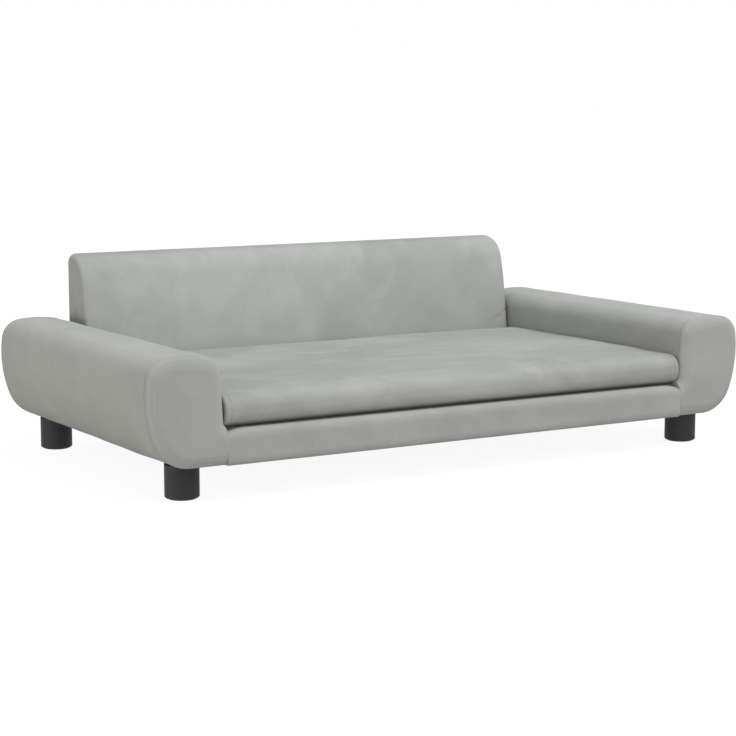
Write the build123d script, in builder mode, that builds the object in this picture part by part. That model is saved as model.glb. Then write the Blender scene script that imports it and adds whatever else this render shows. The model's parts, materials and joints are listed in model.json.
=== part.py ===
from build123d import *
import os
from math import sqrt

# Dog bed made like a small sofa: two padded arms, a padded backrest between them,
# a padded base, a loose seat cushion and four round feet.
# Millimetres. +Z up, +X to the right seen from the front, the front faces -Y.
# The origin is on the floor under the middle of the bed.

# Overall sizes
bed_width = 1000
bed_depth = 540
foot_height = 47
arm_top = 197.8
back_top = 292
rail_top = 96

# Covers and play
velvet = 1.2
ease = 0.3
overrun = 2

# Arm outline, seen from the front
arm_width = 115.5
arm_lean = 8.4
belly_height = 146
belly_radius = 174.5
crown_radius = 198.5
bottom_corner_radius = 55.7
outer_corner_radius = 31.5
inner_corner_radius = 26.6
cove_radius = 10

# Arm ends, padding and timber
arm_end_bevel = 9
arm_panel_depth = 14
arm_foam_thickness = 12
skin_thickness = 3
former_thickness = 12
inner_board_thickness = 12
batten_thickness = 19
bottom_board_thickness = 15
bottom_board_margin = 8.5
wrap_gap = 16

# Base
base_foam_thickness = 10
deck_foam_thickness = 8
deck_thickness = 6
rail_thickness = 18
rear_rail_thickness = 22
centre_rail_width = 60
centre_rail_height = 20
base_top_radius = 9
base_bottom_radius = 5
base_rear_radius = 3
cover_return = 30
dust_cover_thickness = 0.5
dust_cover_margin = 12

# Backrest
back_thickness = 80
back_lean = 30.2
back_crest_radius = 45
back_crest_limit_share = 0.95
back_rear_radius = 15
back_end_bevel = 9.5
back_edge_foam = 12
back_frame_thickness = 18
back_rail_height = 30
back_stile_width = 40
rear_board_thickness = 4
rear_panel_margin = 16

# Seat cushion
cushion_front_setback = 8
cushion_edge_height = 44.7
cushion_crown_rise = 4
cushion_edge_radius = 20.5
cushion_round_limit_share = 0.46
cushion_bevel_share = 0.78
cushion_front_draw = 2.5
cushion_end_draw = 1.5
crown_sink = 1

# Zip on the underside of the cushion
zip_end_inset = 68
zip_inset = 52
zip_slot_width = 9
zip_fold_width = 10
zip_tape_width = 12
zip_tape_thickness = 0.6
zip_slit_width = 2
zip_coil_width = 2
zip_coil_thickness = 1.2
zip_stop_length = 3
zip_slider_length = 11
zip_slider_width = 7.6
zip_plate_thickness = 0.7
zip_post_width = 1.4
zip_post_length = 3
zip_play = 0.2

# Feet
foot_side_inset = 71.3
front_foot_inset = 53
rear_foot_inset = 48
foot_radius = 23.7
foot_edge_chamfer = 1.5
glide_radius = 19
glide_thickness = 1.5

# M8 hanger bolts and nuts of the feet
foot_bolt_radius = 4
foot_bolt_grip = 22
foot_bolt_reach = 8
foot_nut_radius = 7.5
foot_nut_height = 6.5

# M6 hexagon bolts and nuts that hold the arms and the backrest to the base
joint_bolt_radius = 3
joint_bolt_reach = 7
joint_head_radius = 5.75
joint_head_height = 4
joint_nut_radius = 5.75
joint_nut_height = 5
joint_bore_depth = 7
arm_bolt_spacing = 300
back_bolt_margin = 84
thread_play = 0.05
hole_play = 0.3

# Worked out from the sizes above
half_width = bed_width / 2
half_depth = bed_depth / 2
inner_x = half_width - arm_width
foot_x = half_width - foot_side_inset
front_foot_y = front_foot_inset - half_depth
rear_foot_y = half_depth - rear_foot_inset
cover_inset = velvet + ease
foam_inner_inset = cover_inset + arm_foam_thickness
skin_outer_inset = foam_inner_inset + ease
skin_inner_inset = skin_outer_inset + skin_thickness
former_inset = skin_inner_inset + ease
arm_height = arm_top - foot_height
arm_middle_z = (foot_height + arm_top) / 2
arm_seam_y = half_depth - arm_panel_depth
arm_core_y = arm_seam_y - ease
board_bottom = foot_height + cover_inset
board_top = board_bottom + bottom_board_thickness
board_end_x = foot_x + foot_nut_radius + bottom_board_margin
toe_x = inner_x + cover_inset
inner_board_x = toe_x + batten_thickness
inner_board_back_x = inner_board_x + inner_board_thickness
batten_top = rail_top - cover_inset

base_half_width = inner_x - ease
core_front_y = cover_inset + base_foam_thickness - half_depth
core_rear_y = half_depth - cover_inset
deck_top = rail_top - cover_inset - deck_foam_thickness
deck_underside = deck_top - deck_thickness
arm_bolt_z = (board_top + deck_underside) / 2


def arm_face_x(z):
    """Distance from the middle of the bed to an arm's inner face at a height."""
    return inner_x + arm_lean * (z - foot_height) / arm_height


back_bottom = rail_top + ease
back_front_y = half_depth - back_thickness
back_half_width = arm_face_x(back_bottom + back_end_bevel) - ease
back_frame_rear_y = half_depth - cover_inset - rear_board_thickness
back_frame_front_y = back_frame_rear_y - back_frame_thickness
back_frame_half_width = back_half_width - cover_inset - back_edge_foam
back_frame_bottom = back_bottom + cover_inset
back_frame_top = back_top - back_rear_radius
back_bolt_y = (back_frame_front_y + back_frame_rear_y) / 2

cushion_bottom = rail_top + ease
cushion_front_y = cushion_front_setback - half_depth
cushion_rear_y = back_front_y - ease
cushion_round = min(cushion_edge_radius, cushion_edge_height * cushion_round_limit_share)
cushion_half_width = arm_face_x(cushion_bottom + cushion_round) - ease
zip_y = cushion_rear_y - zip_inset

os.makedirs("parts", exist_ok=True)


def keep(name, part):
    """Label a finished piece and write it to its own file."""
    part.label = name
    export_step(part, f"parts/{name}.step")


def flip(part):
    """The same piece for the other side of the bed."""
    with BuildPart() as flipped:
        mirror(part, about=Plane.YZ)
    return flipped.part


def keep_pair(name, part):
    """Write the right hand piece and its left hand twin."""
    keep(f"right_{name}", part)
    keep(f"left_{name}", flip(part))


def keep_both(name, part):
    """Write the right hand piece and its left hand twin together."""
    with BuildPart() as both:
        add(part)
        mirror(part, about=Plane.YZ)
    keep(name, both.part)


def block(low_x, high_x, low_y, high_y, low_z, high_z, mode=Mode.ADD):
    """A square-edged board between two corners, inside the part being built."""
    with Locations(((low_x + high_x) / 2, (low_y + high_y) / 2, (low_z + high_z) / 2)):
        Box(high_x - low_x, high_y - low_y, high_z - low_z, mode=mode)


def span(low_x, high_x, low_z, high_z, mode=Mode.ADD):
    """A rectangle between two corners, inside the sketch being built."""
    with Locations(((low_x + high_x) / 2, (low_z + high_z) / 2)):
        Rectangle(high_x - low_x, high_z - low_z, mode=mode)


# Arms

def arm_section(inset):
    """Outline of the right arm seen from the front, drawn in by an inset."""
    crown_x = (arm_face_x(arm_top) + half_width) / 2
    face_slope = arm_lean / arm_height
    face_secant = sqrt(1 + face_slope**2)
    cove_z = rail_top + cove_radius
    cove_x = arm_face_x(cove_z) - cove_radius / face_secant
    cove_centre_z = cove_z + cove_radius * face_slope / face_secant
    toe_top = cove_centre_z - sqrt(cove_radius**2 - (inner_x - cove_x) ** 2)
    with BuildSketch() as section:
        with BuildLine():
            Polyline(
                (inner_x, toe_top),
                (inner_x, foot_height),
                (half_width, foot_height),
                (half_width, arm_top),
                (arm_face_x(arm_top), arm_top),
                (arm_face_x(cove_z), cove_z),
            )
            RadiusArc((arm_face_x(cove_z), cove_z), (inner_x, toe_top), cove_radius)
        make_face()
        with Locations((half_width - belly_radius, belly_height)):
            Circle(belly_radius, mode=Mode.INTERSECT)
        with Locations((crown_x, arm_top - crown_radius)):
            Circle(crown_radius, mode=Mode.INTERSECT)
        corners = (
            ((half_width, foot_height), bottom_corner_radius),
            ((half_width, arm_top), outer_corner_radius),
            ((inner_x, arm_top), inner_corner_radius),
        )
        for place, radius in corners:
            fillet(section.vertices().sort_by_distance(place)[0], radius)
        if inset > 0:
            offset(amount=-inset)
    return section.sketch


def arm_length(section, half_length):
    """An arm section carried through from front to rear."""
    with BuildPart() as length:
        with BuildSketch(Plane.XZ.offset(half_length)):
            add(section)
        extrude(amount=-2 * half_length)
    return length.part


def arm_end(inset):
    """The solid end of the right arm, in front of the seam, with its bevelled rim."""
    with BuildPart() as end:
        with BuildSketch(Plane.XZ.offset(arm_seam_y)):
            add(arm_section(inset))
        extrude(amount=arm_panel_depth - inset)
        rim = end.edges().group_by(Axis.Y)[0].sort_by(Axis.X)[1:]
        chamfer(rim, arm_end_bevel)
    return end.part


arm_outline = arm_section(0)
arm_velvet_inside = arm_section(velvet)
arm_foam_outside = arm_section(cover_inset)
arm_foam_inside = arm_section(foam_inner_inset)
arm_skin_outside = arm_section(skin_outer_inset)
arm_skin_inside = arm_section(skin_inner_inset)
arm_former_outside = arm_section(former_inset)

# The velvet wrap runs from seam to seam. Its edges end on the side that the base hides.
with BuildSketch() as wrap_section:
    add(arm_outline)
    add(arm_velvet_inside, mode=Mode.SUBTRACT)
    span(
        inner_x - overrun,
        toe_x,
        arm_bolt_z - wrap_gap / 2,
        arm_bolt_z + wrap_gap / 2,
        mode=Mode.SUBTRACT,
    )

foot_ys = (front_foot_y, rear_foot_y)
foot_places = [(foot_x, y) for y in foot_ys]
arm_bolt_ys = (-arm_bolt_spacing / 2, arm_bolt_spacing / 2)


def drill_for_feet(radius, low_z, high_z):
    """Upright holes over the feet, inside the part being built."""
    with Locations([(x, y, high_z) for x, y in foot_places]):
        Hole(radius, depth=high_z - low_z)


def drill_for_arm_bolts(radius, low_x, high_x):
    """Level holes for the arm bolts, inside the part being built."""
    with Locations([Plane((high_x, y, arm_bolt_z), z_dir=(1, 0, 0)) for y in arm_bolt_ys]):
        Hole(radius, depth=high_x - low_x)


with BuildPart() as arm_wrap:
    add(arm_length(wrap_section.sketch, arm_seam_y))
    drill_for_feet(foot_bolt_radius + hole_play, foot_height - overrun, board_bottom + overrun)
keep_pair("arm_wrap", arm_wrap.part)

# Each end has a foam pad in a velvet panel with a bevelled rim.
with BuildPart() as arm_front_panel:
    add(arm_end(0))
    add(arm_end(velvet), mode=Mode.SUBTRACT)
keep_both("arm_front_panels", arm_front_panel.part)

with BuildPart() as arm_rear_panel:
    mirror(arm_front_panel.part, about=Plane.XZ)
keep_both("arm_rear_panels", arm_rear_panel.part)

with BuildPart() as arm_front_pad:
    add(arm_end(cover_inset))
keep_both("arm_front_pads", arm_front_pad.part)

with BuildPart() as arm_rear_pad:
    mirror(arm_front_pad.part, about=Plane.XZ)
keep_both("arm_rear_pads", arm_rear_pad.part)

# Foam wraps the bent skin and the inner board, down to the batten and the bottom board.
with BuildSketch() as arm_core_section:
    add(arm_foam_inside)
    span(inner_board_x - ease, half_width, foot_height, arm_top, mode=Mode.INTERSECT)

with BuildSketch() as arm_foam_section:
    add(arm_foam_outside)
    add(arm_core_section.sketch, mode=Mode.SUBTRACT)
    span(inner_x, board_end_x + ease, foot_height, board_top + ease, mode=Mode.SUBTRACT)
    span(inner_x, inner_board_x, foot_height, batten_top + ease, mode=Mode.SUBTRACT)

with BuildPart() as arm_foam:
    add(arm_length(arm_foam_section.sketch, arm_core_y))
keep_pair("arm_foam", arm_foam.part)

# A thin skin bends round the formers from the bottom board to the inner board.
with BuildSketch() as arm_skin_section:
    add(arm_skin_outside)
    add(arm_skin_inside, mode=Mode.SUBTRACT)
    span(inner_board_back_x, half_width, foot_height, arm_top, mode=Mode.INTERSECT)
    span(inner_x, board_end_x, foot_height, arm_middle_z, mode=Mode.SUBTRACT)

with BuildPart() as arm_skin:
    add(arm_length(arm_skin_section.sketch, arm_core_y))
keep_pair("arm_skin", arm_skin.part)

with BuildSketch() as arm_former_section:
    add(arm_former_outside)
    span(inner_board_back_x, board_end_x, board_top, arm_middle_z)
    span(inner_board_back_x, half_width, foot_height, arm_top, mode=Mode.INTERSECT)
    span(inner_x, board_end_x, foot_height, board_top, mode=Mode.SUBTRACT)


def arm_former(front_y):
    """One upright former, from its front face back."""
    with BuildPart() as former:
        with BuildSketch(Plane.XZ.offset(-front_y)):
            add(arm_former_section.sketch)
        extrude(amount=-former_thickness)
    return former.part


keep_pair("arm_front_former", arm_former(-arm_core_y))
keep_pair("arm_middle_former", arm_former(-former_thickness / 2))
keep_pair("arm_rear_former", arm_former(arm_core_y - former_thickness))

with BuildSketch() as inner_board_section:
    add(arm_skin_outside)
    span(inner_board_x, inner_board_back_x, board_top, arm_top, mode=Mode.INTERSECT)

with BuildPart() as arm_inner_board:
    add(arm_length(inner_board_section.sketch, arm_core_y))
    drill_for_arm_bolts(joint_bolt_radius + hole_play, inner_board_x, inner_board_back_x)
keep_pair("arm_inner_board", arm_inner_board.part)

with BuildPart() as arm_batten:
    block(toe_x, inner_board_x, -arm_core_y, arm_core_y, board_top, batten_top)
    drill_for_arm_bolts(joint_bolt_radius + hole_play, toe_x, inner_board_x)
keep_pair("arm_batten", arm_batten.part)

with BuildSketch() as bottom_board_section:
    add(arm_foam_outside)
    span(toe_x, board_end_x, board_bottom, board_top, mode=Mode.INTERSECT)

with BuildPart() as arm_bottom_board:
    add(arm_length(bottom_board_section.sketch, arm_core_y))
    drill_for_feet(foot_bolt_radius + hole_play, board_bottom, board_top)
keep_pair("arm_bottom_board", arm_bottom_board.part)


# Base

def base_section(inset):
    """Outline of the base seen from the side, drawn in by an inset."""
    with BuildSketch() as section:
        span(-half_depth, half_depth, foot_height, rail_top)
        corners = (
            ((-half_depth, rail_top), base_top_radius),
            ((-half_depth, foot_height), base_bottom_radius),
            ((half_depth, rail_top), base_rear_radius),
            ((half_depth, foot_height), base_rear_radius),
        )
        for place, radius in corners:
            fillet(section.vertices().sort_by_distance(place)[0], radius)
        if inset > 0:
            offset(amount=-inset)
    return section.sketch


def base_span(section):
    """A base section carried across between the arms."""
    with BuildPart() as across:
        with BuildSketch(Plane.YZ.offset(-base_half_width)):
            add(section)
        extrude(amount=2 * base_half_width)
    return across.part


back_bolt_x = back_frame_half_width - back_stile_width - back_bolt_margin
back_bolt_xs = (-back_bolt_x, back_bolt_x)
side_rail_inner_x = base_half_width - rail_thickness
front_rail_rear_y = core_front_y + rail_thickness
rear_rail_front_y = core_rear_y - rear_rail_thickness


def drill_for_back_bolts(radius, low_z, high_z):
    """Upright holes for the backrest bolts, inside the part being built."""
    with Locations([(x, back_bolt_y, high_z) for x in back_bolt_xs]):
        Hole(radius, depth=high_z - low_z)


with BuildSketch() as base_cover_section:
    add(base_section(0))
    add(base_section(velvet), mode=Mode.SUBTRACT)
    span(
        cover_return - half_depth,
        half_depth - cover_return,
        foot_height - overrun,
        board_bottom,
        mode=Mode.SUBTRACT,
    )

with BuildPart() as base_cover:
    add(base_span(base_cover_section.sketch))
    drill_for_back_bolts(joint_bolt_radius + hole_play, batten_top, rail_top + overrun)
    drill_for_back_bolts(joint_head_radius + hole_play, foot_height - overrun, board_bottom)
keep("base_cover", base_cover.part)

# The foam sheet lies on the deck in front of the backrest and folds down over the front rail.
with BuildSketch() as base_foam_section:
    add(base_section(cover_inset))
    span(core_front_y, half_depth, foot_height, deck_top, mode=Mode.SUBTRACT)
    span(back_front_y, half_depth, foot_height, rail_top, mode=Mode.SUBTRACT)

with BuildPart() as base_foam:
    add(base_span(base_foam_section.sketch))
keep("base_foam", base_foam.part)

with BuildPart() as back_sill:
    block(-base_half_width, base_half_width, back_front_y, core_rear_y, deck_top, batten_top)
    sill_edge = back_sill.edges().filter_by(Axis.X).sort_by_distance((0, half_depth, rail_top))[0]
    fillet(sill_edge, base_rear_radius)
    drill_for_back_bolts(joint_bolt_radius + hole_play, deck_top, batten_top)
keep("back_sill", back_sill.part)

with BuildPart() as deck_board:
    block(-base_half_width, base_half_width, core_front_y, core_rear_y, deck_underside, deck_top)
    drill_for_back_bolts(joint_bolt_radius + hole_play, deck_underside, deck_top)
keep("deck_board", deck_board.part)

with BuildPart() as front_rail:
    block(
        -base_half_width, base_half_width, core_front_y, front_rail_rear_y, board_bottom, deck_underside
    )
keep("front_rail", front_rail.part)

with BuildPart() as rear_rail:
    block(
        -base_half_width, base_half_width, rear_rail_front_y, core_rear_y, board_bottom, deck_underside
    )
    rail_edge = rear_rail.edges().filter_by(Axis.X).sort_by_distance((0, half_depth, foot_height))[0]
    fillet(rail_edge, base_rear_radius)
    drill_for_back_bolts(joint_bolt_radius + hole_play, board_bottom, deck_underside)
    drill_for_back_bolts(joint_head_radius + hole_play, board_bottom, board_bottom + joint_bore_depth)
keep("rear_rail", rear_rail.part)

with BuildPart() as side_rail:
    block(
        side_rail_inner_x, base_half_width, front_rail_rear_y, rear_rail_front_y, board_bottom, deck_underside
    )
    drill_for_arm_bolts(joint_bolt_radius + hole_play, side_rail_inner_x, base_half_width)
keep_pair("side_rail", side_rail.part)

with BuildPart() as centre_rail:
    block(
        -centre_rail_width / 2,
        centre_rail_width / 2,
        front_rail_rear_y,
        rear_rail_front_y,
        deck_underside - centre_rail_height,
        deck_underside,
    )
keep("centre_rail", centre_rail.part)

with BuildPart() as dust_cover:
    block(
        dust_cover_margin - base_half_width,
        base_half_width - dust_cover_margin,
        dust_cover_margin - half_depth,
        half_depth - dust_cover_margin,
        foot_height - dust_cover_thickness,
        foot_height,
    )
keep("dust_cover", dust_cover.part)


# Backrest

def back_body(inset):
    """The padded backrest with bevelled ends, drawn in by an inset all round."""
    back_height = back_top - back_bottom
    front_radius = (back_height**2 + back_lean**2) / (2 * back_lean)
    crest_room = back_thickness - back_lean - back_rear_radius
    crest_limit = crest_room * (back_height + back_lean) / (back_height - back_lean)
    crest_radius = min(back_crest_radius, crest_limit * back_crest_limit_share)
    with BuildPart() as body:
        with BuildSketch(Plane.YZ.offset(inset - back_half_width)) as profile:
            span(back_front_y, half_depth, back_bottom, back_top)
            with Locations((back_front_y + front_radius, back_bottom)):
                Circle(front_radius, mode=Mode.INTERSECT)
            fillet(profile.vertices().sort_by_distance((back_front_y, back_top))[0], crest_radius)
            fillet(profile.vertices().sort_by_distance((half_depth, back_top))[0], back_rear_radius)
            if inset > 0:
                offset(amount=-inset)
        extrude(amount=2 * (back_half_width - inset))
        long_edges = body.edges().filter_by(Axis.X)
        toe_edge = long_edges.group_by(Axis.Z)[0].sort_by(Axis.Y)[0]
        end_edges = body.edges().filter_by(Axis.X, reverse=True)
        chamfer(end_edges + [toe_edge], back_end_bevel)
    return body.part


rear_panel_half_width = back_half_width - rear_panel_margin
rear_panel_top = back_top - rear_panel_margin
rear_panel_bottom = back_bottom + rear_panel_margin

with BuildPart() as back_shell:
    add(back_body(0))
    add(back_body(velvet), mode=Mode.SUBTRACT)
    drill_for_back_bolts(joint_bolt_radius + hole_play, back_bottom - overrun, back_frame_bottom)

with BuildPart() as back_cover:
    add(back_shell.part)
    block(
        -rear_panel_half_width,
        rear_panel_half_width,
        half_depth - cover_inset,
        half_depth + overrun,
        rear_panel_bottom,
        rear_panel_top,
        mode=Mode.SUBTRACT,
    )
keep("back_cover", back_cover.part)

with BuildPart() as back_rear_panel:
    block(
        -rear_panel_half_width,
        rear_panel_half_width,
        half_depth - velvet,
        half_depth,
        rear_panel_bottom,
        rear_panel_top,
    )
keep("back_rear_panel", back_rear_panel.part)

with BuildPart() as back_foam:
    add(back_body(cover_inset))
    block(
        -back_frame_half_width - ease,
        back_frame_half_width + ease,
        back_frame_front_y - ease,
        half_depth,
        back_bottom,
        back_frame_top + ease,
        mode=Mode.SUBTRACT,
    )
keep("back_foam", back_foam.part)

with BuildPart() as back_bottom_rail:
    block(
        -back_frame_half_width,
        back_frame_half_width,
        back_frame_front_y,
        back_frame_rear_y,
        back_frame_bottom,
        back_frame_bottom + back_rail_height,
    )
    drill_for_back_bolts(
        joint_bolt_radius + hole_play, back_frame_bottom, back_frame_bottom + back_rail_height
    )
keep("back_bottom_rail", back_bottom_rail.part)

with BuildPart() as back_top_rail:
    block(
        -back_frame_half_width,
        back_frame_half_width,
        back_frame_front_y,
        back_frame_rear_y,
        back_frame_top - back_rail_height,
        back_frame_top,
    )
keep("back_top_rail", back_top_rail.part)

with BuildPart() as back_stile:
    block(
        back_frame_half_width - back_stile_width,
        back_frame_half_width,
        back_frame_front_y,
        back_frame_rear_y,
        back_frame_bottom + back_rail_height,
        back_frame_top - back_rail_height,
    )
keep_pair("back_stile", back_stile.part)

with BuildPart() as back_board:
    block(
        -back_frame_half_width,
        back_frame_half_width,
        back_frame_rear_y,
        half_depth - cover_inset,
        back_frame_bottom,
        back_frame_top,
    )
keep("back_board", back_board.part)


# Seat cushion

def cushion_outline(inset):
    """Plan of the cushion with its drawn-in sides, drawn in by an inset all round."""
    middle_y = (cushion_front_y + cushion_rear_y) / 2
    reach_x = cushion_half_width - inset
    front_y = cushion_front_y + inset
    rear_y = cushion_rear_y - inset
    corners = ((-reach_x, front_y), (reach_x, front_y), (reach_x, rear_y), (-reach_x, rear_y))
    with BuildSketch() as outline:
        with BuildLine():
            ThreePointArc(corners[0], (0, front_y + cushion_front_draw), corners[1])
            ThreePointArc(corners[1], (reach_x - cushion_end_draw, middle_y), corners[2])
            ThreePointArc(corners[2], (0, rear_y - cushion_front_draw), corners[3])
            ThreePointArc(corners[3], (cushion_end_draw - reach_x, middle_y), corners[0])
        make_face()
    return outline.sketch


def cushion_crown(inset):
    """The low dome on top of the cushion, arched both ways."""
    middle_y = (cushion_front_y + cushion_rear_y) / 2
    edge_top = cushion_bottom + cushion_edge_height - inset
    peak = edge_top + cushion_crown_rise
    sag = cushion_crown_rise + crown_sink
    reach_x = cushion_half_width - cushion_round
    reach_y = (cushion_rear_y - cushion_front_y) / 2 - cushion_round
    radius_x = (reach_x**2 + sag**2) / (2 * sag)
    radius_y = (reach_y**2 + sag**2) / (2 * sag)
    with BuildPart() as crown:
        with BuildSketch(Plane.XY.offset(edge_top - crown_sink)):
            add(cushion_outline(cushion_round))
        extrude(amount=sag)
        with BuildSketch(Plane.YZ):
            with Locations((middle_y, peak - radius_y)):
                Circle(radius_y)
        extrude(amount=cushion_half_width, both=True, mode=Mode.INTERSECT)
        with BuildSketch(Plane.XZ):
            with Locations((0, peak - radius_x)):
                Circle(radius_x)
        extrude(amount=half_depth, both=True, mode=Mode.INTERSECT)
    return crown.part


def cushion_body(inset):
    """A slab with a low crown, drawn in by an inset all round, rounded outside and bevelled inside."""
    with BuildPart() as body:
        with BuildSketch(Plane.XY.offset(cushion_bottom + inset)):
            add(cushion_outline(inset))
        extrude(amount=cushion_edge_height - 2 * inset)
        if inset > 0:
            chamfer(body.edges(), cushion_round * cushion_bevel_share)
        else:
            fillet(body.edges(), cushion_round)
        add(cushion_crown(inset))
    return body.part


zip_half = cushion_half_width - zip_end_inset
zip_fold_top = cushion_bottom + 2 * velvet
zip_tape_top = zip_fold_top + zip_tape_thickness
zip_coil_bottom = zip_fold_top - zip_coil_thickness
zip_slider_top = zip_tape_top + zip_play + zip_plate_thickness
zip_slider_bottom = zip_coil_bottom - zip_play - zip_plate_thickness
zip_room = zip_slot_width / 2 + zip_fold_width

# The slot for the zip has its velvet edges folded double.
with BuildPart() as cushion_cover:
    add(cushion_body(0))
    add(cushion_body(velvet), mode=Mode.SUBTRACT)
    block(
        -zip_half - zip_stop_length,
        zip_half + zip_stop_length,
        zip_y - zip_room,
        zip_y + zip_room,
        cushion_bottom,
        zip_fold_top,
    )
    block(
        -zip_half,
        zip_half,
        zip_y - zip_slot_width / 2,
        zip_y + zip_slot_width / 2,
        cushion_bottom - overrun,
        zip_fold_top,
        mode=Mode.SUBTRACT,
    )
keep("cushion_cover", cushion_cover.part)

with BuildPart() as cushion_foam:
    add(cushion_body(cover_inset))
    block(
        -zip_half - zip_stop_length - ease,
        zip_half + zip_stop_length + ease,
        zip_y - zip_room - ease,
        zip_y + zip_room + ease,
        cushion_bottom,
        zip_slider_top + ease,
        mode=Mode.SUBTRACT,
    )
keep("cushion_foam", cushion_foam.part)


def zip_strips(half_length, inner_y, outer_y, low_z, high_z):
    """A pair of strips either side of the zip's middle line."""
    with BuildPart() as strips:
        block(-half_length, half_length, zip_y - outer_y, zip_y - inner_y, low_z, high_z)
        block(-half_length, half_length, zip_y + inner_y, zip_y + outer_y, low_z, high_z)
    return strips.part


zip_tapes = zip_strips(
    zip_half, zip_slit_width / 2, zip_slit_width / 2 + zip_tape_width, zip_fold_top, zip_tape_top
)
keep("zip_tapes", zip_tapes)

zip_coils = zip_strips(
    zip_half, zip_slit_width / 2, zip_slit_width / 2 + zip_coil_width, zip_coil_bottom, zip_fold_top
)
keep("zip_coils", zip_coils)

zip_slider_x = -zip_half + zip_stop_length + zip_slider_length / 2
with BuildPart() as zip_slider:
    for low_z, high_z in (
        (zip_slider_bottom, zip_slider_bottom + zip_plate_thickness),
        (zip_slider_top - zip_plate_thickness, zip_slider_top),
    ):
        with BuildSketch(Plane.XY.offset(low_z)):
            with Locations((zip_slider_x, zip_y)):
                RectangleRounded(zip_slider_length, zip_slider_width, zip_slider_width / 3)
        extrude(amount=high_z - low_z)
    block(
        zip_slider_x - zip_post_length / 2,
        zip_slider_x + zip_post_length / 2,
        zip_y - zip_post_width / 2,
        zip_y + zip_post_width / 2,
        zip_slider_bottom,
        zip_slider_top,
    )
keep("zip_slider", zip_slider.part)


# Feet, with a glide under each

all_foot_places = [(side * foot_x, y) for side in (1, -1) for y in foot_ys]

with BuildPart() as feet:
    with BuildSketch(Plane.XY.offset(glide_thickness)):
        with Locations(all_foot_places):
            Circle(foot_radius)
    extrude(amount=foot_height - glide_thickness)
    chamfer(feet.edges().group_by(Axis.Z)[0], foot_edge_chamfer)
    with Locations([(x, y, foot_height) for x, y in all_foot_places]):
        Hole(foot_bolt_radius + thread_play, depth=foot_bolt_grip)
keep("feet", feet.part)

with BuildPart() as foot_glides:
    with BuildSketch():
        with Locations(all_foot_places):
            Circle(glide_radius)
    extrude(amount=glide_thickness)
keep("foot_glides", foot_glides.part)

with BuildPart() as foot_bolts:
    with BuildSketch(Plane.XY.offset(foot_height - foot_bolt_grip)):
        with Locations(all_foot_places):
            Circle(foot_bolt_radius)
    extrude(amount=foot_bolt_grip + board_top + foot_bolt_reach - foot_height)
keep("foot_bolts", foot_bolts.part)

with BuildPart() as foot_nuts:
    with BuildSketch(Plane.XY.offset(board_top)):
        with Locations(all_foot_places):
            RegularPolygon(foot_nut_radius, 6)
            Circle(foot_bolt_radius + thread_play, mode=Mode.SUBTRACT)
    extrude(amount=foot_nut_height)
keep("foot_nuts", foot_nuts.part)


# Bolts and nuts of the joints

def joint_bolt(length):
    """A hexagon bolt, its head below the seat plane and its shank above."""
    with BuildPart() as bolt:
        with BuildSketch(Plane.XY.offset(-joint_head_height)):
            RegularPolygon(joint_head_radius, 6)
        extrude(amount=joint_head_height)
        with BuildSketch():
            Circle(joint_bolt_radius)
        extrude(amount=length)
    return bolt.part


def joint_nut():
    """A hexagon nut that stands on the seat plane."""
    with BuildPart() as nut:
        with BuildSketch():
            RegularPolygon(joint_nut_radius, 6)
            Circle(joint_bolt_radius + thread_play, mode=Mode.SUBTRACT)
        extrude(amount=joint_nut_height)
    return nut.part


back_seat_z = board_bottom + joint_bore_depth
back_nut_z = back_frame_bottom + back_rail_height
arm_bolt = joint_bolt(inner_board_back_x + joint_bolt_reach - side_rail_inner_x)
back_bolt = joint_bolt(back_nut_z + joint_bolt_reach - back_seat_z)
nut = joint_nut()

arm_bolt_seats = []
arm_nut_seats = []
for side in (1, -1):
    for y in arm_bolt_ys:
        outward = (side, 0, 0)
        arm_bolt_seats.append(Plane((side * side_rail_inner_x, y, arm_bolt_z), z_dir=outward))
        arm_nut_seats.append(Plane((side * inner_board_back_x, y, arm_bolt_z), z_dir=outward))
back_bolt_seats = [Plane((x, back_bolt_y, back_seat_z)) for x in back_bolt_xs]
back_nut_seats = [Plane((x, back_bolt_y, back_nut_z)) for x in back_bolt_xs]

with BuildPart() as joint_bolts:
    with Locations(arm_bolt_seats):
        add(arm_bolt)
    with Locations(back_bolt_seats):
        add(back_bolt)
keep("joint_bolts", joint_bolts.part)

with BuildPart() as joint_nuts:
    with Locations(arm_nut_seats + back_nut_seats):
        add(nut)
keep("joint_nuts", joint_nuts.part)
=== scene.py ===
import bpy
import json
import math
import numpy as np
from mathutils.kdtree import KDTree
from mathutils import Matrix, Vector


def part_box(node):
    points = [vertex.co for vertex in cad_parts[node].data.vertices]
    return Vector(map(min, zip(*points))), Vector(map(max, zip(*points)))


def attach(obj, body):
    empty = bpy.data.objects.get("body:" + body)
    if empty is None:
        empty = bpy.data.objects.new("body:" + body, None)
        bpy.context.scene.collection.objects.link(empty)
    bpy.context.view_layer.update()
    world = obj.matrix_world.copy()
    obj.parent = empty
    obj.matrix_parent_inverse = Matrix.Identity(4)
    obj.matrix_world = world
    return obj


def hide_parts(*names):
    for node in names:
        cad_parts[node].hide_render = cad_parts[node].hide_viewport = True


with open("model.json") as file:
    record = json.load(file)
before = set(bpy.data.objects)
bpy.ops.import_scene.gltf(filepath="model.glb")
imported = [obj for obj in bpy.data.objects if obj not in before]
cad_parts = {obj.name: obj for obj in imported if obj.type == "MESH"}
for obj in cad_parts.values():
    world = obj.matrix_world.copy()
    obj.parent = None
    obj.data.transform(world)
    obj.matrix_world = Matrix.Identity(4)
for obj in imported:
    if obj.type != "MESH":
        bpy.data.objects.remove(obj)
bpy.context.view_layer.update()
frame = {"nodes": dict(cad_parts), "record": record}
MM = 0.001

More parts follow.
